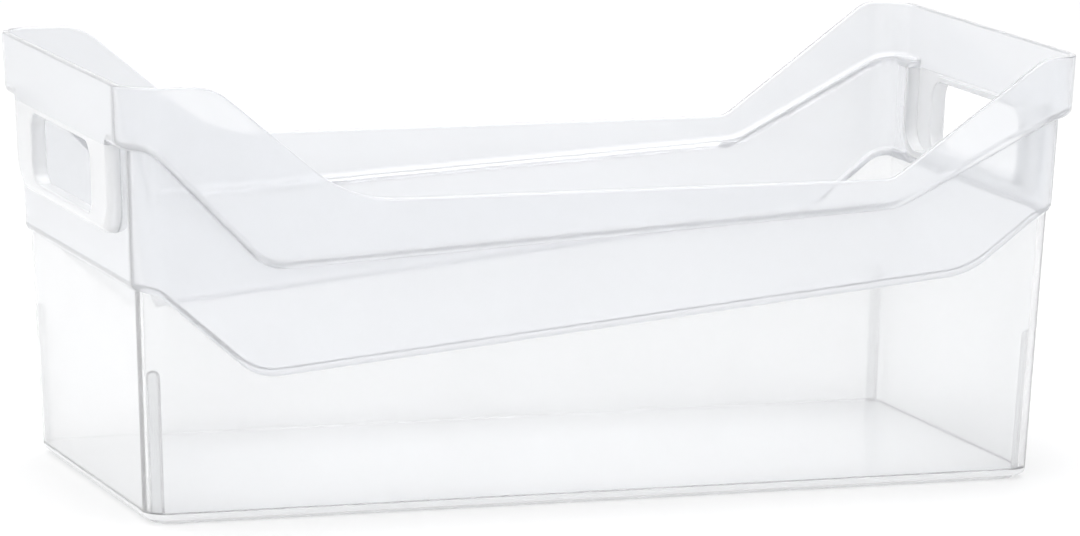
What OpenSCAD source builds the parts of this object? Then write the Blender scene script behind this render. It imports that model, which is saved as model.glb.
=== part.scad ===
// Clear bin for a fridge drawer or shelf: an open box with leaning walls that step
// outward twice, long sides that dip in the middle, and a hand-hold in each high end.
// Length along X with the pull end at -X, depth along Y, and the origin at the middle
// of the plane that the bin stands on. Every outer face is named by how far it stands
// out from the outer face of the lower walls.

/* [Overall size] */
// Outer length of the lower walls at the foot plane
base_l = 300; // [240:1:420]
// Outer depth of the lower walls at the foot plane
base_d = 141; // [125:1:220]
// Height of the two high ends above the foot plane
height = 141; // [135:0.5:190]
// Thickness of every wall
wall = 2.4; // [1.8:0.1:3]
// Lean of every wall from the vertical, in degrees
draft = 2.7; // [0.5:0.1:4]
// Outer radius of the lower walls' upright corners
corner_r = 8; // [5:0.5:10]

/* [Floor and foot] */
// Thickness of the floor
floor_t = 2.4; // [1.6:0.1:4]
// Height and width of the rounded edge where the floor meets the walls
edge_r = 2.4; // [1:0.1:4]
// Height of the foot ring under the floor
foot_h = 1.2; // [0.6:0.1:3]
// Width of the foot ring
foot_w = 3; // [2:0.1:6]
// Distance of the foot ring from the outer faces of the lower walls
foot_inset = 3.2; // [3:0.1:8]
// Outer corner radius of the foot ring
foot_r = 7; // [5:0.5:12]

/* [Steps in the walls] */
// How far the middle band stands out from the lower walls
band_out = 1.5; // [0.8:0.1:3]
// How far the rim skirt stands out from the middle band
skirt_out = 4.1; // [3:0.1:5.5]
// Thickness of the ledges that join the tiers
ledge_t = 2.4; // [1.6:0.1:3]

/* [Rim line] */
// Depth of the dip in the long sides
rim_dip = 37.8; // [25:0.1:44]
// Flat length of the rim at the pull end
rim_flat_pull = 29.3; // [20:0.1:50]
// Run of the rim's slope at the pull end
rim_run_pull = 45.9; // [35:0.1:70]
// Flat length of the rim at the far end
rim_flat_far = 14.7; // [10:0.1:40]
// Run of the rim's slope at the far end
rim_run_far = 52.1; // [35:0.1:70]
// Distance of each bend's start from its corner, pull end to far end
rim_bends = [7, 16, 3, 4]; // [1:0.5:20]

/* [Skirt line] */
// Height of the rim skirt at the two ends
skirt_h = 20.6; // [17:0.1:25]
// Flat length of the skirt's lower edge at the pull end
skirt_flat_pull = 10; // [7:0.1:20]
// Run of the slope of the skirt's lower edge at the pull end
skirt_run_pull = 38.8; // [30:0.1:60]
// Drop of the skirt's lower edge at the pull end
skirt_dip_pull = 39.1; // [30:0.1:45]
// Flat length of the skirt's lower edge at the far end
skirt_flat_far = 10.2; // [7:0.1:20]
// Run of the slope of the skirt's lower edge at the far end
skirt_run_far = 53.4; // [30:0.1:70]
// Drop of the skirt's lower edge at the far end
skirt_dip_far = 27.4; // [24:0.1:36]
// Distance of each bend's start from its corner, pull end to far end
skirt_bends = [4, 7, 4, 5]; // [1:0.5:12]

/* [Band line] */
// Height of the middle band at the pull end
band_h_pull = 45.5; // [38:0.1:50]
// Flat length of the band's lower edge at the pull end
band_flat_pull = 13.7; // [10:0.1:24]
// Run of the slope of the band's lower edge at the pull end
band_run_pull = 33.5; // [25:0.1:60]
// Drop of the band's lower edge at the pull end
band_dip_pull = 28.8; // [22:0.1:34]
// Height of the middle band at the far end
band_h_far = 31; // [30.5:0.1:44]
// Flat length of the band's lower edge at the far end
band_flat_far = 12; // [8:0.1:20]
// Run of the slope of the band's lower edge at the far end
band_run_far = 25.3; // [20:0.1:50]
// Drop of the band's lower edge at the far end
band_dip_far = 19.6; // [14:0.1:28]
// Distance of each bend's start from its corner, pull end to far end
band_bends = [4, 8, 8, 6]; // [1:0.5:12]

/* [Hand-holds] */
// Width of the opening in each end
hold_w = 76; // [65:0.5:85]
// Height of the opening
hold_h = 23; // [19:0.5:24]
// Corner radius of the opening
hold_r = 6; // [3:0.5:9]
// Height of the bar between the opening and the level of the skirt's lower edge
hold_bar = 2; // [1:0.1:3]
// Distance from the opening to each side of the raised apron around it
apron_side = 22; // [15:0.5:24]
// Distance from the opening down to the apron's lower edge
apron_below = 4.6; // [4.5:0.1:6]
// Radius of the apron's lower corners
apron_r = 12; // [6:0.5:14]
// Depth of the collar that lines the opening
collar_depth = 5.2; // [3.5:0.1:6]

/* [Corner posts] */
// Radius of the rounded post that stands out of each inner corner
post_r = 2.2; // [1.5:0.1:4]
// Height of the posts' tops above the foot plane
post_top = 50; // [25:0.5:55]

/* [Hidden] */

// Growth of a leaning wall's reach for each millimetre of height
lean = tan(draft);
floor_z = foot_h + floor_t;
edge = min(edge_r, floor_t);
// Share of a round's radius that is left half way round it
mid_share = 1 - cos(45);
// Outer faces of the tiers, and the inner faces behind them
band_e = band_out;
skirt_e = band_out + skirt_out;
body_in = -wall;
band_in = band_e - wall;
skirt_in = skirt_e - wall;
collar_in = skirt_e - collar_depth;
// Half the length and half the depth over the rim
rim_x = base_l / 2 + lean * height + skirt_e;
rim_y = base_d / 2 + lean * height + skirt_e;
// Heights of the tiers' lower edges at the two ends, and of the hand-holds
skirt_z = height - skirt_h;
band_z_pull = skirt_z - band_h_pull;
band_z_far = skirt_z - band_h_far;
hold_z = skirt_z - hold_bar - hold_h / 2;
apron_z = hold_z - hold_h / 2 - apron_below;
apron_x = hold_w / 2 + apron_side;
// Least radius left on an inner corner where the wall is thicker than the corner's radius
least_r = 0.4;
// Run of every cutting shape past the faces it cuts
past = 40;
bend_steps = 6;
corner_fn = 32;
outline_fn = 48;
disc_h = 0.01;
PULL = -1;
FAR = 1;
FRONT = -1;
BACK = 1;
CLEAR = [0.86, 0.89, 0.92, 0.45];
CLEAR_EDGE = [0.76, 0.80, 0.85, 0.6];

// ---- Lines along the long sides, as [x, z] points from the pull end to the far end ----

function dipped_line(z_pull, flat_pull, run_pull, dip_pull, z_far, flat_far, run_far, dip_far) = [
    [-rim_x - past, z_pull],
    [-rim_x + flat_pull, z_pull],
    [-rim_x + flat_pull + run_pull, z_pull - dip_pull],
    [rim_x - flat_far - run_far, z_far - dip_far],
    [rim_x - flat_far, z_far],
    [rim_x + past, z_far]
];

function level_line(z) = [[-rim_x - past, z], [rim_x + past, z]];

function lifted(line, dz) = [for (p = line) p + [0, dz]];

function backwards(line) = [for (i = [len(line) - 1 : -1 : 0]) line[i]];

// Point on the way from a to b, at most half way
function towards(a, b, reach) = a + (b - a) * min(reach / norm(b - a), 0.5);

// Point at share t of the curve from a to c that bends towards b
function bend_point(a, b, c, t) = (1 - t) * (1 - t) * a + 2 * t * (1 - t) * b + t * t * c;

// The line with its inner corners bent, each bend starting its own reach from the corner
function bent(line, reaches) = concat(
    [line[0]],
    [
        for (i = [1 : len(line) - 2], s = [0 : bend_steps])
            bend_point(
                towards(line[i], line[i - 1], reaches[i - 1]),
                line[i],
                towards(line[i], line[i + 1], reaches[i - 1]),
                s / bend_steps
            )
    ],
    [line[len(line) - 1]]
);

rim_line = bent(
    dipped_line(
        height, rim_flat_pull, rim_run_pull, rim_dip,
        height, rim_flat_far, rim_run_far, rim_dip
    ),
    rim_bends
);
skirt_line = bent(
    dipped_line(
        skirt_z, skirt_flat_pull, skirt_run_pull, skirt_dip_pull,
        skirt_z, skirt_flat_far, skirt_run_far, skirt_dip_far
    ),
    skirt_bends
);
band_line = bent(
    dipped_line(
        band_z_pull, band_flat_pull, band_run_pull, band_dip_pull,
        band_z_far, band_flat_far, band_run_far, band_dip_far
    ),
    band_bends
);

// ---- Shapes that the pieces are cut from ----

// Four corner discs with their tops at height z, inside the leaning faces that stand out by e
module corner_discs(e, z, r) {
    for (sx = [PULL, FAR], sy = [FRONT, BACK])
        translate([
            sx * (base_l / 2 + e + lean * z - r),
            sy * (base_d / 2 + e + lean * z - r),
            z - disc_h
        ])
            cylinder(r = r, h = disc_h, $fn = corner_fn);
}

// Everything inside the leaning faces that stand out by e
module leaning_block(e, r = undef) {
    corner = is_undef(r) ? max(corner_r + e, least_r) : r;
    hull() {
        corner_discs(e, -past, corner);
        translate([0, 0, disc_h]) corner_discs(e, height + past, corner);
    }
}

// Shell from the faces that stand out by outer_e in to those that stand out by inner_e
module leaning_ring(outer_e, inner_e) {
    difference() {
        leaning_block(outer_e);
        leaning_block(inner_e);
    }
}

// Everything between two lines, right across the depth
module between(lower, upper) {
    rotate([90, 0, 0])
        translate([0, 0, -rim_y - past])
            linear_extrude(2 * (rim_y + past)) polygon(concat(lower, backwards(upper)));
}

// An outline in Y and Z, pushed through one end wall
module through_end(side) {
    mirror([side == PULL ? 1 : 0, 0, 0])
        translate([base_l / 4, 0, 0])
            rotate([90, 0, 90])
                linear_extrude(base_l / 4 + past) children();
}

// Rounded rectangle of the hand-hold, grown by some distance all round
module hold_outline(grow = 0) {
    w = hold_w + 2 * grow;
    h = hold_h + 2 * grow;
    r = hold_r + grow;
    translate([0, hold_z]) {
        square([w, h - 2 * r], center = true);
        square([w - 2 * r, h], center = true);
        for (sx = [-1, 1], sz = [-1, 1])
            translate([sx * (w / 2 - r), sz * (h / 2 - r)]) circle(r = r, $fn = outline_fn);
    }
}

// Outline of the apron, its sides and lower edge drawn in by some distance
module apron_outline(inset = 0) {
    w = apron_x - inset;
    low = apron_z + inset;
    r = max(apron_r - inset, least_r);
    translate([-w, low + r]) square([2 * w, height - low - r]);
    translate([-(w - r), low]) square([2 * (w - r), 2 * r]);
    for (sx = [-1, 1])
        translate([sx * (w - r), low + r]) circle(r = r, $fn = outline_fn);
}

// ---- Pieces ----

// Raised ring under the floor that the bin stands on
module foot_ring() {
    color(CLEAR_EDGE)
        intersection() {
            difference() {
                leaning_block(-foot_inset, foot_r);
                leaning_block(-foot_inset - foot_w, max(foot_r - foot_w, least_r));
            }
            between(level_line(0), level_line(foot_h));
        }
}

// Floor with its rounded outer edge
module floor_panel() {
    mid_edge = mid_share * edge;
    color(CLEAR)
        hull() {
            translate([0, 0, disc_h]) corner_discs(-edge, foot_h, corner_r - edge);
            corner_discs(-mid_edge, foot_h + mid_edge, corner_r - mid_edge);
            corner_discs(0, foot_h + edge, corner_r);
            corner_discs(0, floor_z, corner_r);
        }
}

// Walls from the floor up to the band line
module lower_walls() {
    color(CLEAR)
        intersection() {
            leaning_ring(0, body_in);
            between(level_line(floor_z), band_line);
        }
}

// Middle band with the ledge that joins it to the lower walls, open behind the aprons
module middle_band() {
    color(CLEAR)
        difference() {
            union() {
                intersection() {
                    leaning_ring(band_e, band_in);
                    between(band_line, skirt_line);
                }
                intersection() {
                    leaning_ring(band_e, body_in);
                    between(band_line, lifted(band_line, ledge_t));
                }
            }
            for (side = [PULL, FAR])
                through_end(side) apron_outline();
        }
}

// Rim skirt with the ledge that joins it to the middle band, open above the aprons' hollows
module rim_skirt() {
    color(CLEAR) {
        intersection() {
            leaning_ring(skirt_e, skirt_in);
            between(skirt_line, rim_line);
        }
        difference() {
            intersection() {
                leaning_ring(skirt_e, band_in);
                between(skirt_line, lifted(skirt_line, ledge_t));
            }
            for (side = [PULL, FAR])
                through_end(side) apron_outline(ledge_t);
        }
    }
}

// Apron that the skirt drops around a hand-hold, hollow behind, with a collar in the opening
module hand_hold(side) {
    color(CLEAR)
        difference() {
            intersection() {
                leaning_block(skirt_e);
                through_end(side) apron_outline();
                between(level_line(0), skirt_line);
            }
            leaning_block(band_in);
            intersection() {
                leaning_block(skirt_in);
                through_end(side)
                    difference() {
                        apron_outline(ledge_t);
                        hold_outline(wall);
                    }
            }
            intersection() {
                leaning_block(collar_in);
                through_end(side) hold_outline(wall);
            }
            through_end(side) hold_outline();
        }
}

module pull_hand_hold() {
    hand_hold(PULL);
}

module far_hand_hold() {
    hand_hold(FAR);
}

// Rounded post with a domed top, standing on the floor against the round of one inner corner
module corner_post(sx, sy) {
    dome_z = post_top - post_r;
    color(CLEAR_EDGE)
        intersection() {
            leaning_block(body_in);
            between(level_line(floor_z), level_line(height));
            union() {
                in_corner(sx, sy, 0)
                    rotate([-sy * draft, sx * draft, 0])
                        rotate(atan2(sy, sx))
                            cylinder(r = post_r, h = dome_z / pow(cos(draft), 2), $fn = corner_fn);
                in_corner(sx, sy, dome_z)
                    rotate(atan2(sy, sx))
                        sphere(r = post_r, $fn = corner_fn);
            }
        }
}

// Half way round an inner corner at height z
module in_corner(sx, sy, z) {
    reach = body_in - mid_share * max(corner_r + body_in, least_r) + lean * z;
    translate([sx * (base_l / 2 + reach), sy * (base_d / 2 + reach), z]) children();
}

module post_pull_front() {
    corner_post(PULL, FRONT);
}

module post_pull_back() {
    corner_post(PULL, BACK);
}

module post_far_front() {
    corner_post(FAR, FRONT);
}

module post_far_back() {
    corner_post(FAR, BACK);
}

foot_ring();
floor_panel();
lower_walls();
middle_band();
rim_skirt();
pull_hand_hold();
far_hand_hold();
post_pull_front();
post_pull_back();
post_far_front();
post_far_back();
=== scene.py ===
"""Looks for the clear fridge bin: the moulding's portions as smooth clear shells, a pale
studio floor, soft light, and a camera at the photograph's angle. Sizes are in millimetres
up to the meshes, which are in metres."""

import math

import bmesh
import bpy
from mathutils import Matrix, Vector


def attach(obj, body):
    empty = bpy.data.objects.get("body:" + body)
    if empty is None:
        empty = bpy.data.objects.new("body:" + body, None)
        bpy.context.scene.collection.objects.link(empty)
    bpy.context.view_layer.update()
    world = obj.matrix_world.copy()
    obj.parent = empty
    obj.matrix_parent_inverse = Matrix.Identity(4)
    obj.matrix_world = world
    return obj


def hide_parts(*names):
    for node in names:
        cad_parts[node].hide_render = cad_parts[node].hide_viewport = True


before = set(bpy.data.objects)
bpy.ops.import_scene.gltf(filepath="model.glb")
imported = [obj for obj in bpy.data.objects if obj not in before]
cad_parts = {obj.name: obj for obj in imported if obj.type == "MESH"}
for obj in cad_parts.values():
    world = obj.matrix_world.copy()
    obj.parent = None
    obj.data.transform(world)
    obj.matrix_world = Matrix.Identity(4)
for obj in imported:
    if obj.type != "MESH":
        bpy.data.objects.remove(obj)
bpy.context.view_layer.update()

MM = 0.001

# ---- The bin's own sizes, the same values as the CAD source ----
BASE_L, BASE_D, HEIGHT, WALL = 300.0, 141.0, 141.0, 2.4
LEAN = math.tan(math.radians(2.7))
CORNER_R, LEAST_R = 8.0, 0.4
FLOOR_T, FOOT_H, FOOT_W, FOOT_INSET, FOOT_R = 2.4, 1.2, 3.0, 3.2, 7.0
FLOOR_Z = FOOT_H + FLOOR_T
BAND_E, SKIRT_E, LEDGE_T = 1.5, 5.6, 2.4
BODY_IN, BAND_IN, SKIRT_IN = -WALL, BAND_E - WALL, SKIRT_E - WALL
RIM_X = BASE_L / 2 + LEAN * HEIGHT + SKIRT_E
SKIRT_Z = HEIGHT - 20.6
BAND_Z_PULL, BAND_Z_FAR = SKIRT_Z - 45.5, SKIRT_Z - 31.0
HOLD_W, HOLD_H, HOLD_R, HOLD_BAR = 76.0, 23.0, 6.0, 2.0
HOLD_Z = SKIRT_Z - HOLD_BAR - HOLD_H / 2
APRON_X = HOLD_W / 2 + 22.0
APRON_Z = HOLD_Z - HOLD_H / 2 - 4.6
APRON_R = 12.0
COLLAR_IN = SKIRT_E - 5.2
POST_R, POST_TOP = 2.2, 50.0

# ---- Rounded edges, which the CAD source leaves sharp ----
SKIRT_EDGE = 3.0  # lower edge of the skirt and of the aprons
BAND_EDGE = 2.6  # height of the rounding at the band's lower edge
RIM_EDGE = 0.8
FLOOR_FILLET = 0.6
FOOT_EDGE = 0.4
OPENING_EDGE = 0.6  # inner end of the collar round an opening
SHELF_END = 3.0  # rounded end of the skirt's inner ledge above an apron's hollow

# ---- Places and clearances that only these meshes need ----
SEAM = 0.01  # half the hairline between two portions of the moulding
LIP = 2.25  # wall of the collar and of the apron's rim
SEAM_MID_E = 4.2  # a point across the seam between the skirt and an apron
APRON_GAP = 0.03  # between two stations close to an apron's side
POST_CLEAR = 0.02  # between a post and the walls' inner corner
SHARP_DEG = 32.0  # edges that turn further than this stay sharp


def bent_line(points, reaches, steps=14):
    """The line through the points with its inner corners bent, as two lists x and z."""
    out = [Vector(points[0])]
    for i, reach in enumerate(reaches, start=1):
        a, b, c = (Vector(p) for p in points[i - 1:i + 2])
        p = b + (a - b) * min(reach / (a - b).length, 0.5)
        q = b + (c - b) * min(reach / (c - b).length, 0.5)
        for s in range(steps + 1):
            t = s / steps
            out.append((1 - t) ** 2 * p + 2 * t * (1 - t) * b + t * t * q)
    out.append(Vector(points[-1]))
    return [p.x for p in out], [p.y for p in out]


def dipped(z_pull, flat_pull, run_pull, dip_pull, z_far, flat_far, run_far, dip_far, bends):
    """Height over x of a line that is high at both ends and slopes in between them. The
    flats and runs are measured inward from the rim's ends, and the dips downward."""
    past = 40
    corners = [
        (-RIM_X - past, z_pull),
        (-RIM_X + flat_pull, z_pull),
        (-RIM_X + flat_pull + run_pull, z_pull - dip_pull),
        (RIM_X - flat_far - run_far, z_far - dip_far),
        (RIM_X - flat_far, z_far),
        (RIM_X + past, z_far),
    ]
    xs, zs = bent_line(corners, bends)

    def height(x):
        if x <= xs[0]:
            return zs[0]
        for i in range(1, len(xs)):
            if x <= xs[i]:
                t = (x - xs[i - 1]) / (xs[i] - xs[i - 1])
                return zs[i - 1] + t * (zs[i] - zs[i - 1])
        return zs[-1]

    height.bends = [(corners[i + 1][0], r) for i, r in enumerate(bends)]
    return height


rim = dipped(HEIGHT, 29.3, 45.9, 37.8, HEIGHT, 14.7, 52.1, 37.8, (7, 16, 3, 4))
skirt = dipped(SKIRT_Z, 10.0, 38.8, 39.1, SKIRT_Z, 10.2, 53.4, 27.4, (4, 7, 4, 5))
band = dipped(BAND_Z_PULL, 13.7, 33.5, 28.8, BAND_Z_FAR, 12.0, 25.3, 19.6, (4, 8, 8, 6))


def floor_top(x):
    return FLOOR_Z


# ---- Stations round the wall: x = ax + bx * corner centre + nx * radius, and y alike ----

LONG_FIX = 140.0  # stations nearer than this to the middle keep their own x
TAILS = (0.12, 0.25, 0.38, 0.5, 0.62, 0.75, 0.88)  # shares of the way on to a corner
CORNER_STEPS = 12
EVEN_STEP = 10.0
BEND_SPREAD = 1.05  # how far past a bend its closer stations reach
CLOSEST = 0.12


def long_steps(lines):
    """Stations along a long side: evenly spaced, and closer at the bends of the lines."""
    count = int(2 * LONG_FIX / EVEN_STEP) + 1
    xs = {round(-LONG_FIX + EVEN_STEP * i, 3) for i in range(count)}
    for line in lines:
        for x, reach in line.bends:
            n = max(8, int(reach * 1.4))
            for k in range(-n, n + 1):
                xs.add(round(x + BEND_SPREAD * reach * k / n, 3))
    xs = sorted(x for x in xs if abs(x) <= LONG_FIX)
    return [x for i, x in enumerate(xs) if i == 0 or x - xs[i - 1] > CLOSEST]


def wall_run(steps, fixed):
    """Places along one wall, from its low end to its high one, as (a, b) pairs."""
    low = [(-fixed * (1 - h), -h) for h in reversed(TAILS)]
    high = [(fixed * (1 - h), h) for h in TAILS]
    return low + [(s, 0.0) for s in steps] + high


def stations(xs, ys, y_fix):
    """All stations round the bin, starting on the front side and going anticlockwise."""
    longs, shorts = wall_run(xs, LONG_FIX), wall_run(ys, y_fix)
    out = []

    def corner(sx, sy, start):
        for k in range(CORNER_STEPS + 1):
            t = math.radians(start + 90 * k / CORNER_STEPS)
            out.append((0, sx, 0, sy, math.cos(t), math.sin(t)))

    out += [(a, b, 0, -1, 0, -1) for a, b in longs]
    corner(1, -1, -90)
    out += [(0, 1, a, b, 1, 0) for a, b in shorts]
    corner(1, 1, 0)
    out += [(a, b, 0, 1, 0, 1) for a, b in reversed(longs)]
    corner(-1, 1, 90)
    out += [(0, -1, a, b, -1, 0) for a, b in reversed(shorts)]
    corner(-1, -1, 180)
    return out


def place(st, e, z):
    """The point at height z on the leaning faces that stand out by e."""
    ax, bx, ay, by, nx, ny = st
    r = max(CORNER_R + e, LEAST_R)
    inner = e - r + LEAN * z
    return (
        ax + bx * (BASE_L / 2 + inner) + nx * r,
        ay + by * (BASE_D / 2 + inner) + ny * r,
        z,
    )


def on_line(st, e, line, up):
    """The point of the station that stands out by e and lies up above a line."""
    z = line(place(st, e, SKIRT_Z)[0]) + up
    for _ in range(5):
        z = line(place(st, e, z)[0]) + up
    return place(st, e, z)


def end_y(st):
    """Distance from the middle of an end wall where the station keeps its own y, or None."""
    ax, bx, ay, by, nx, ny = st
    return abs(ay) if abs(nx) == 1 and by == 0 else None


def arc(n, start=0.0, stop=90.0):
    """(cosine, sine) at n + 1 even steps between two angles."""
    angles = [math.radians(start + (stop - start) * k / n) for k in range(n + 1)]
    return [(math.cos(t), math.sin(t)) for t in angles]


# ---- Meshes ----


def finish_mesh(name, verts, faces):
    """A smooth-shaded object from points in millimetres, with doubled points merged."""
    mesh = bpy.data.meshes.new(name)
    mesh.from_pydata([tuple(c * MM for c in v) for v in verts], [], faces)
    bm = bmesh.new()
    bm.from_mesh(mesh)
    bmesh.ops.remove_doubles(bm, verts=bm.verts, dist=1e-6)
    bmesh.ops.recalc_face_normals(bm, faces=bm.faces)
    bm.to_mesh(mesh)
    bm.free()
    for polygon in mesh.polygons:
        polygon.use_smooth = True
    mesh.set_sharp_from_angle(angle=math.radians(SHARP_DEG))
    piece = bpy.data.objects.new(name, mesh)
    bpy.context.scene.collection.objects.link(piece)
    weigh = piece.modifiers.new("flat_faces_stay_flat", "WEIGHTED_NORMAL")
    weigh.mode = "FACE_AREA"
    weigh.weight = 100
    weigh.keep_sharp = True
    return piece


def ring_mesh(name, columns):
    """A closed ring: every column is a closed outline with the same number of points."""
    n, m = len(columns), len(columns[0])
    verts = [p for column in columns for p in column]
    faces = []
    for i in range(n):
        for j in range(m):
            a, b = i * m, (i + 1) % n * m
            k = (j + 1) % m
            faces.append((a + j, b + j, b + k, a + k))
    return finish_mesh(name, verts, faces)


def capped_mesh(name, loops):
    """A closed solid: loops with the same number of points, joined, with both ends capped."""
    n = len(loops[0])
    verts = [p for loop in loops for p in loop]
    faces = [tuple(range(n))]
    for k in range(len(loops) - 1):
        low, high = k * n, (k + 1) * n
        for i in range(n):
            j = (i + 1) % n
            faces.append((low + i, low + j, high + j, high + i))
    faces.append(tuple(range((len(loops) - 1) * n, len(loops) * n)))
    return finish_mesh(name, verts, faces)


def rounded_loop(e, r, z, steps=10):
    """The rounded rectangle at height z on the leaning faces that stand out by e."""
    half_x, half_y = BASE_L / 2 + e + LEAN * z, BASE_D / 2 + e + LEAN * z
    out = []
    for sx, sy, start in ((1, -1, -90), (1, 1, 0), (-1, 1, 90), (-1, -1, 180)):
        for c, s in arc(steps, start, start + 90):
            out.append((sx * (half_x - r) + r * c, sy * (half_y - r) + r * s, z))
    return out


def foot_ring():
    outer, inner, edge = -FOOT_INSET, -FOOT_INSET - FOOT_W, FOOT_EDGE
    rows = [(outer, FOOT_H - SEAM)]
    rows += [(outer - edge + edge * c, edge - edge * s) for c, s in arc(4)]
    rows += [(inner + edge - edge * c, edge - edge * s) for c, s in reversed(arc(4))]
    rows += [(inner, FOOT_H - SEAM)]
    loops = [rounded_loop(e, FOOT_R + e - outer, z) for e, z in rows]
    columns = [[loop[i] for loop in loops] for i in range(len(loops[0]))]
    return ring_mesh("bin_foot_ring", columns)


def floor_panel():
    rows = [(0.0, FLOOR_Z - SEAM)]
    rows += [(-FLOOR_T + FLOOR_T * c, FLOOR_Z - FLOOR_T * s) for c, s in arc(8)[1:]]
    loops = [rounded_loop(e, CORNER_R + e, z) for e, z in rows]
    return capped_mesh("bin_floor_panel", loops)


def lower_walls():
    def column(st):
        toe = FLOOR_FILLET
        out = [on_line(st, 0.0, floor_top, SEAM)]
        out += [on_line(st, e, band, -SEAM) for e in (0.0, BODY_IN)]
        out += [
            on_line(st, BODY_IN - toe + toe * c, floor_top, toe - toe * s + SEAM)
            for c, s in arc(5)
        ]
        return out

    ys = (-40.0, 0.0, 40.0)
    ring = stations(long_steps([band]), ys, APRON_X)
    return ring_mesh("bin_lower_walls", [column(st) for st in ring])


def apron_arc_z(y):
    """Height of the apron's outline at a distance y from the middle of the end."""
    d = y - (APRON_X - APRON_R)
    return APRON_Z + (APRON_R - math.sqrt(max(APRON_R ** 2 - d * d, 0)) if d > 0 else 0)


def middle_band():
    """The walls between the two step lines, cut out round the aprons. Every rounding is
    smaller where little height is left between the band's own edge and what is above."""

    def column(st):
        y = end_y(st)
        at_apron = y is not None and y <= APRON_X
        low = on_line(st, BAND_E, band, 0)[2]
        top = on_line(st, BAND_E, skirt, 0)[2]
        if at_apron:
            top = apron_arc_z(y)
        high = top - low
        edge = min(BAND_EDGE, 0.9 * high)
        shelf = min(LEDGE_T, 0.7 * high)
        hollow = min(0.6, 0.8 * (high - shelf))
        crest = min(0.7, 0.5 * shelf)

        def top_point(e):
            if at_apron:
                return place(st, e, top - SEAM)
            return on_line(st, e, skirt, -SEAM)

        out = [
            on_line(st, BAND_E * s, band, edge - edge * c + SEAM) for c, s in arc(7)
        ]
        out += [top_point(BAND_E), top_point(BAND_IN)]
        out += [
            on_line(st, BAND_IN - hollow + hollow * c, band, shelf + hollow - hollow * s)
            for c, s in arc(3)
        ]
        out += [
            on_line(st, BODY_IN + crest - crest * s, band, shelf - crest + crest * c)
            for c, s in arc(3)
        ]
        out.append(on_line(st, BODY_IN, band, SEAM))
        return out

    arcs = [APRON_X - APRON_R + APRON_R * s for c, s in arc(10)]
    half = [0.0, 16.0, 32.0] + arcs + [APRON_X + APRON_GAP]
    ys = sorted({round(s * y, 4) for y in half for s in (-1, 1)})
    ring = stations(long_steps([band, skirt]), ys, APRON_X + APRON_GAP)
    return ring_mesh("bin_middle_band", [column(st) for st in ring])


def rim_skirt():
    """The top tier, rounded at the rim and at its lower edge. That edge thins out into the
    apron's own rounded edge, and the ledge inside ends in a round above its hollow."""
    start_e = SKIRT_E - SKIRT_EDGE

    def column(st):
        y = end_y(st)
        near = 0.0 if y is None else min(max(APRON_X - y, 0.0), SKIRT_EDGE)
        open_inside = y is not None and y < APRON_X - LEDGE_T
        past_end = SHELF_END if y is None else min(y - APRON_X + LEDGE_T, SHELF_END)
        turn = math.degrees(math.acos(1 - near / SKIRT_EDGE))
        first = start_e + SKIRT_EDGE * math.sin(math.radians(turn))
        seam = (SKIRT_IN, SEAM_MID_E) if open_inside else (BAND_IN, min(BAND_E, first - 0.1))
        out = [on_line(st, e, skirt, SEAM) for e in seam]
        for c, s in arc(7, turn, 90):
            from_edge = SKIRT_EDGE - SKIRT_EDGE * c
            up = math.sqrt(max(from_edge ** 2 - near ** 2, 0))
            out.append(on_line(st, start_e + SKIRT_EDGE * s, skirt, up + SEAM))
        mid = (SKIRT_E + SKIRT_IN) / 2
        half = WALL / 2 - RIM_EDGE
        for c, s in arc(4):
            out.append(on_line(st, mid + half + RIM_EDGE * c, rim, RIM_EDGE * (s - 1)))
        for c, s in reversed(arc(4)):
            out.append(on_line(st, mid - half - RIM_EDGE * c, rim, RIM_EDGE * (s - 1)))
        hollow, crest = 1.6, 0.9
        shelf = [
            (SKIRT_IN - hollow + hollow * c, LEDGE_T + hollow - hollow * s)
            for c, s in arc(5)
        ]
        shelf += [
            (BAND_IN + crest - crest * s, LEDGE_T - crest + crest * c)
            for c, s in arc(4)
        ]
        if not open_inside and past_end < SHELF_END:
            full = math.sqrt(1 - (1 - past_end / SHELF_END) ** 2)
            shelf = [(SKIRT_IN - full * (SKIRT_IN - e), up) for e, up in shelf]
        if open_inside:
            n = len(shelf)
            top = shelf[0][1]
            shelf = [(SKIRT_IN, top * (n - k) / n) for k in range(n)]
        out += [on_line(st, e, skirt, up) for e, up in shelf]
        return out

    fillet = [APRON_X - SKIRT_EDGE + SKIRT_EDGE * c for c, s in arc(6)]
    shelf_end = APRON_X - LEDGE_T
    half = [0.0, 20.0, 40.0, shelf_end - APRON_GAP, shelf_end + SHELF_END] + fillet
    half += [shelf_end + SHELF_END * (1 - c) for c, s in arc(6)]
    ys = sorted({round(s * y, 4) for y in half for s in (-1, 1)})
    ring = stations(long_steps([skirt, rim]), ys, APRON_X)
    return ring_mesh("bin_rim_skirt", [column(st) for st in ring])


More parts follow.
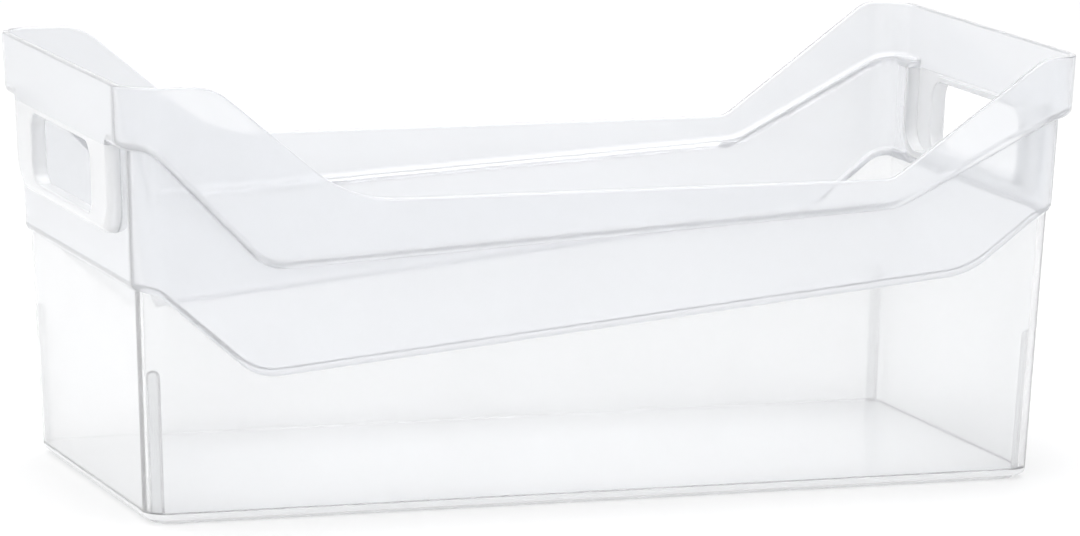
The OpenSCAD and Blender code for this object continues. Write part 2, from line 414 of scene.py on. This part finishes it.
def hand_hold(name, side):
    """The apron with the collar in its opening. Each column runs from the outline over the
    front, through the opening and back over the inside, and the columns go round."""
    ax, az, top = APRON_X - 2 * SEAM, APRON_Z + SEAM, SKIRT_Z - SEAM
    hy, hz = HOLD_W / 2 - HOLD_R, HOLD_H / 2 - HOLD_R
    # Angles in the opening's upper corner, with the outline's places that face them: along
    # the top, up to where the hollow behind the apron is open, and then down the side.
    turns = (82.5, 75, 67.5, 60, 52.5, 45, 37.5)
    tops = (33.1, 34.2, 35.6, 41.0, 47.0, 52.5, ax - LIP)
    closed_above = 70
    sides = (37.5, 30, 22.5, 15, 7.5, 0)
    levels = (top, 118.3, 116.5, 115.0, 113.6, 112.3)
    lower_sides = ((109.0, 109.0), (105.0, 106.0))
    low_y = ax - APRON_R
    lows = ((hy, low_y), (24.0, 36.0), (16.0, 24.0), (8.0, 12.0), (0.0, 0.0))

    def upper_corner(angle):
        t = math.radians(angle)
        n = (math.cos(t), math.sin(t))
        return (hy + HOLD_R * n[0], HOLD_Z + hz + HOLD_R * n[1]), n

    half = []  # (kind, opening point, its normal, outline point, its inward normal)
    for y in (0.0, 8.0, 16.0, 24.0, hy):
        half.append(("closed", (y, HOLD_Z + hz + HOLD_R), (0, 1), (y, top), (0, 0)))
    for angle, y in zip(turns, tops):
        p, n = upper_corner(angle)
        kind = "closed" if angle > closed_above else "open"
        half.append((kind, p, n, (y, top), (0, 0)))
    for angle, z in zip(sides, levels):
        p, n = upper_corner(angle)
        half.append(("side", p, n, (ax, z), (-1, 0)))
    for z, out_z in lower_sides:
        half.append(("side", (HOLD_W / 2, z), (1, 0), (ax, out_z), (-1, 0)))
    for c, s in arc(12, 0, -90):
        p = (hy + HOLD_R * c, HOLD_Z - hz + HOLD_R * s)
        q = (ax - APRON_R + APRON_R * c, az + APRON_R + APRON_R * s)
        half.append(("side", p, (c, s), q, (-c, -s)))
    for y, out_y in lows:
        half.append(("low", (y, HOLD_Z - HOLD_H / 2), (0, -1), (out_y, az), (0, 1)))

    def column(spec, mirror):
        kind, p, n, q, m = spec
        pocket = COLLAR_IN if kind in ("closed", "low") else SKIRT_IN

        def grown(d, e):
            return (p[0] + n[0] * d, min(p[1] + n[1] * d, top), e)

        def inset(d, e):
            return (q[0] + m[0] * d, q[1] + m[1] * d, e)

        start_e = SKIRT_E - SKIRT_EDGE
        fillet = [
            inset(SKIRT_EDGE - SKIRT_EDGE * c, start_e + SKIRT_EDGE * s)
            for c, s in arc(7)
        ]
        rows = [inset(0, BAND_E)] + fillet
        rows += [
            grown(RIM_EDGE - RIM_EDGE * s, SKIRT_E - RIM_EDGE + RIM_EDGE * c)
            for c, s in arc(4)
        ]
        end = OPENING_EDGE
        rows += [grown(end - end * c, COLLAR_IN + end - end * s) for c, s in arc(3)]
        rim_out = grown(LIP, COLLAR_IN)
        rows += [rim_out, grown(LIP, pocket)]
        wall = [inset(LIP, e) for e in (pocket, COLLAR_IN, BAND_IN)]
        wall.append(inset(0, BAND_IN))
        if kind in ("open", "closed"):
            corner = rim_out if kind == "closed" else (q[0], top, SKIRT_IN)
            rows[:len(fillet)] = [corner] * len(fillet)
            rows[len(fillet)] = (min(q[0], ax - SKIRT_EDGE), top, SKIRT_E)
            wall = [corner] * len(wall)
            if kind == "closed":
                rows[-1] = corner
        rows += wall
        return [
            (side * (BASE_L / 2 + e + LEAN * z), -y if mirror else y, z)
            for y, z, e in rows
        ]

    columns = [column(s, False) for s in half]
    columns += [column(s, True) for s in reversed(half)]
    return ring_mesh(name, columns)


def corner_post(name, sx, sy):
    """A rounded post with a domed top that stands out of the round of an inner corner."""
    sides, upright, dome, dome_end = 24, 4, 8, 84
    dome_z = POST_TOP - POST_R
    inner_r = CORNER_R + BODY_IN
    rows = [(FLOOR_Z + SEAM, POST_R)]
    rows += [(dome_z * k / upright, POST_R) for k in range(1, upright + 1)]
    rows += [(dome_z + POST_R * s, POST_R * c) for c, s in arc(dome, 0, dome_end)[1:]]
    loops = []
    for z, radius in rows:
        kx = BASE_L / 2 + BODY_IN + LEAN * z - inner_r
        ky = BASE_D / 2 + BODY_IN + LEAN * z - inner_r
        loop = []
        for c, s in arc(sides, 0, 360)[:-1]:
            x = inner_r * math.sqrt(0.5) + radius * c
            y = inner_r * math.sqrt(0.5) + radius * s
            pull_in = min(1.0, (inner_r - POST_CLEAR) / math.hypot(x, y))
            loop.append((sx * (kx + x * pull_in), sy * (ky + y * pull_in), z))
        loops.append(loop)
    return capped_mesh(name, loops)


# ---- Clear plastic ----

PLASTIC_IOR = 1.5
NOISE_LOW, NOISE_HIGH = 0.3, 0.7  # the range that most of a noise texture's values fill
ROUGH_LOW, ROUGH_HIGH = 0.025, 0.08
TINT_DROP = 0.985  # the tint's darkest places, as a share of it
WAVE_STRENGTH, WAVE_DEPTH = 0.05, 0.002
HAZE_NOISE, TINT_NOISE, WAVE_NOISE = (38.0, 3.0), (16.0, 2.0), (22.0, 1.0)  # scale, detail


def clear_plastic(name, tint, milk, seed):
    """Clear moulded plastic: a faint cool tint, a share of milkiness, gloss that varies a
    little and the slow waviness of a thin moulded wall. The seed shifts the noise."""
    mat = bpy.data.materials.new(name)
    mat.use_nodes = True
    nodes, links = mat.node_tree.nodes, mat.node_tree.links
    bsdf = nodes["Principled BSDF"]
    bsdf.inputs["IOR"].default_value = PLASTIC_IOR
    bsdf.inputs["Transmission Weight"].default_value = 1.0 - milk

    coords = nodes.new("ShaderNodeTexCoord")
    shift = nodes.new("ShaderNodeMapping")
    shift.inputs["Location"].default_value = (seed, 2 * seed, 3 * seed)
    links.new(coords.outputs["Object"], shift.inputs["Vector"])

    def noise(scale, detail):
        node = nodes.new("ShaderNodeTexNoise")
        node.inputs["Scale"].default_value = scale
        node.inputs["Detail"].default_value = detail
        links.new(shift.outputs["Vector"], node.inputs["Vector"])
        return node.outputs["Fac"]

    def ranged(value, low, high):
        node = nodes.new("ShaderNodeMapRange")
        node.inputs["From Min"].default_value = NOISE_LOW
        node.inputs["From Max"].default_value = NOISE_HIGH
        node.inputs["To Min"].default_value = low
        node.inputs["To Max"].default_value = high
        links.new(value, node.inputs["Value"])
        return node.outputs["Result"]

    haze = noise(*HAZE_NOISE)
    links.new(ranged(haze, ROUGH_LOW, ROUGH_HIGH), bsdf.inputs["Roughness"])
    tone = nodes.new("ShaderNodeMix")
    tone.data_type = "RGBA"
    tone.inputs["A"].default_value = (*[c * TINT_DROP for c in tint], 1)
    tone.inputs["B"].default_value = (*tint, 1)
    links.new(ranged(noise(*TINT_NOISE), 0.0, 1.0), tone.inputs["Factor"])
    links.new(tone.outputs["Result"], bsdf.inputs["Base Color"])
    bump = nodes.new("ShaderNodeBump")
    bump.inputs["Strength"].default_value = WAVE_STRENGTH
    bump.inputs["Distance"].default_value = WAVE_DEPTH
    links.new(noise(*WAVE_NOISE), bump.inputs["Height"])
    links.new(bump.outputs["Normal"], bsdf.inputs["Normal"])
    return mat


rim_plastic = clear_plastic("clear_plastic_rim", (0.962, 0.971, 0.99), 0.3, 0.0)
hold_plastic = clear_plastic("clear_plastic_hold", (0.968, 0.974, 0.984), 0.62, 3.1)
wall_plastic = clear_plastic("clear_plastic_wall", (0.989, 0.993, 1.0), 0.2, 0.9)
floor_plastic = clear_plastic("clear_plastic_floor", (0.985, 0.99, 1.0), 0.84, 2.3)
foot_plastic = clear_plastic("clear_plastic_foot", (0.985, 0.988, 0.992), 0.4, 1.7)
post_plastic = clear_plastic("clear_plastic_post", (0.988, 0.991, 0.996), 0.22, 4.2)

PIECES = [
    (foot_ring(), foot_plastic, "clear_plastic_edge", "foot_ring"),
    (floor_panel(), floor_plastic, "clear_plastic", "floor_panel"),
    (lower_walls(), wall_plastic, "clear_plastic", "lower_walls"),
    (middle_band(), rim_plastic, "clear_plastic", "middle_band"),
    (rim_skirt(), rim_plastic, "clear_plastic", "rim_skirt"),
    (hand_hold("bin_pull_hand_hold", -1), hold_plastic, "clear_plastic", "pull_hand_hold"),
    (hand_hold("bin_far_hand_hold", 1), hold_plastic, "clear_plastic", "far_hand_hold"),
]
for end, sx in (("pull", -1), ("far", 1)):
    for long_side, sy in (("front", -1), ("back", 1)):
        node = f"post_{end}_{long_side}"
        post = corner_post(f"bin_{node}", sx, sy)
        PIECES.append((post, post_plastic, "clear_plastic_edge", node))

for piece, material, slot, node in PIECES:
    piece.data.materials.append(material)
    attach(piece, "root")
    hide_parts(node)

# ---- Stage: a pale floor, soft light and the camera ----

STAGE_HALF, STAGE_BACK = 6.0, 14.0
STAGE_TONES = (0.56, 0.57)
STAGE_GLOW = 0.4  # partly self-lit, so that no dark contact line shows under clear plastic
FAR_END_GREY = (0.35, 0.36, 0.4, 1)
FADE_FROM, FADE_TO = 0.76, 0.9  # of the way from -X (0) to +X (1)
LAMP_AT, LAMP_SIZE, LAMP_WATTS = (0.0, 0.1, 1.3), 1.2, 10.5
PHOTO_W, SENSOR_MM = 1080, 36.0

def stage_floor():
    mesh = bpy.data.meshes.new("studio_floor")
    a, b = STAGE_HALF, STAGE_BACK
    mesh.from_pydata([(-a, -a, 0), (a, -a, 0), (a, b, 0), (-a, b, 0)], [], [(0, 1, 2, 3)])
    floor = bpy.data.objects.new("studio_floor", mesh)
    bpy.context.scene.collection.objects.link(floor)
    mat = bpy.data.materials.new("studio_floor")
    mat.use_nodes = True
    nodes, links = mat.node_tree.nodes, mat.node_tree.links
    bsdf = nodes["Principled BSDF"]
    bsdf.inputs["Roughness"].default_value = 0.9
    bsdf.inputs["Specular IOR Level"].default_value = 0.1
    bsdf.inputs["Emission Color"].default_value = (1, 1, 1, 1)
    bsdf.inputs["Emission Strength"].default_value = STAGE_GLOW
    noise = nodes.new("ShaderNodeTexNoise")
    noise.inputs["Scale"].default_value = 3.0
    tone = nodes.new("ShaderNodeMix")
    tone.data_type = "RGBA"
    for socket, grey in zip("AB", STAGE_TONES):
        tone.inputs[socket].default_value = (grey, grey, grey, 1)
    links.new(noise.outputs["Fac"], tone.inputs["Factor"])
    links.new(tone.outputs["Result"], bsdf.inputs["Base Color"])
    mesh.materials.append(mat)


def studio_world():
    """White all round, fading to grey towards the far end, as the photograph's light does."""
    world = bpy.data.worlds.new("studio")
    bpy.context.scene.world = world
    world.use_nodes = True
    nodes, links = world.node_tree.nodes, world.node_tree.links
    back = nodes["Background"]
    coords = nodes.new("ShaderNodeTexCoord")
    split = nodes.new("ShaderNodeSeparateXYZ")
    links.new(coords.outputs["Generated"], split.inputs["Vector"])
    along = nodes.new("ShaderNodeMapRange")
    along.inputs["From Min"].default_value = -1.0
    along.inputs["From Max"].default_value = 1.0
    links.new(split.outputs["X"], along.inputs["Value"])
    ramp = nodes.new("ShaderNodeValToRGB")
    near, far = ramp.color_ramp.elements
    near.position, near.color = FADE_FROM, (1, 1, 1, 1)
    far.position, far.color = FADE_TO, FAR_END_GREY
    links.new(along.outputs["Result"], ramp.inputs["Fac"])
    links.new(ramp.outputs["Color"], back.inputs["Color"])
    back.inputs["Strength"].default_value = 1.0


def soft_box():
    """One square lamp over the bin, aimed at the middle of its foot."""
    light = bpy.data.lights.new("top_box", "AREA")
    light.shape = "RECTANGLE"
    light.size = light.size_y = LAMP_SIZE
    light.energy = LAMP_WATTS
    lamp = bpy.data.objects.new("top_box", light)
    lamp.location = LAMP_AT
    way = -Vector(LAMP_AT)
    lamp.rotation_euler = way.to_track_quat("-Z", "Y").to_euler()
    bpy.context.scene.collection.objects.link(lamp)


def light_paths():
    """Enough bounces for light to pass through all the clear walls in a row."""
    paths = bpy.context.scene.cycles
    paths.max_bounces = paths.transmission_bounces = 32
    paths.diffuse_bounces, paths.glossy_bounces = 32, 16


def photo_camera():
    """The camera that lays the bin's edges on the photograph's, found by fitting them."""
    yaw, pitch, roll = (math.radians(a) for a in (18.473, 8.904, 0.506))
    focal_px, across, upward, distance = 6881.09, 9.890, -8.649, 2267.26
    aim = Vector((-8.004, 0, 75))
    right = Vector((math.cos(yaw), -math.sin(yaw), 0))
    ahead = Vector((
        math.sin(yaw) * math.cos(pitch), math.cos(yaw) * math.cos(pitch), -math.sin(pitch)
    ))
    up = right.cross(ahead)
    side = math.cos(roll) * right + math.sin(roll) * up
    top = -math.sin(roll) * right + math.cos(roll) * up
    at = aim + across * side + upward * top - distance * ahead
    data = bpy.data.cameras.new("photo_camera")
    data.sensor_fit = "HORIZONTAL"
    data.sensor_width = SENSOR_MM
    data.lens = focal_px * SENSOR_MM / PHOTO_W
    data.clip_end = 100
    camera = bpy.data.objects.new("photo_camera", data)
    turn = Matrix((side, top, -ahead)).transposed().to_4x4()
    camera.matrix_world = Matrix.Translation(at * MM) @ turn
    bpy.context.scene.collection.objects.link(camera)
    bpy.context.scene.camera = camera


stage_floor()
studio_world()
soft_box()
light_paths()
photo_camera()
bpy.context.scene.view_settings.view_transform = "Standard"
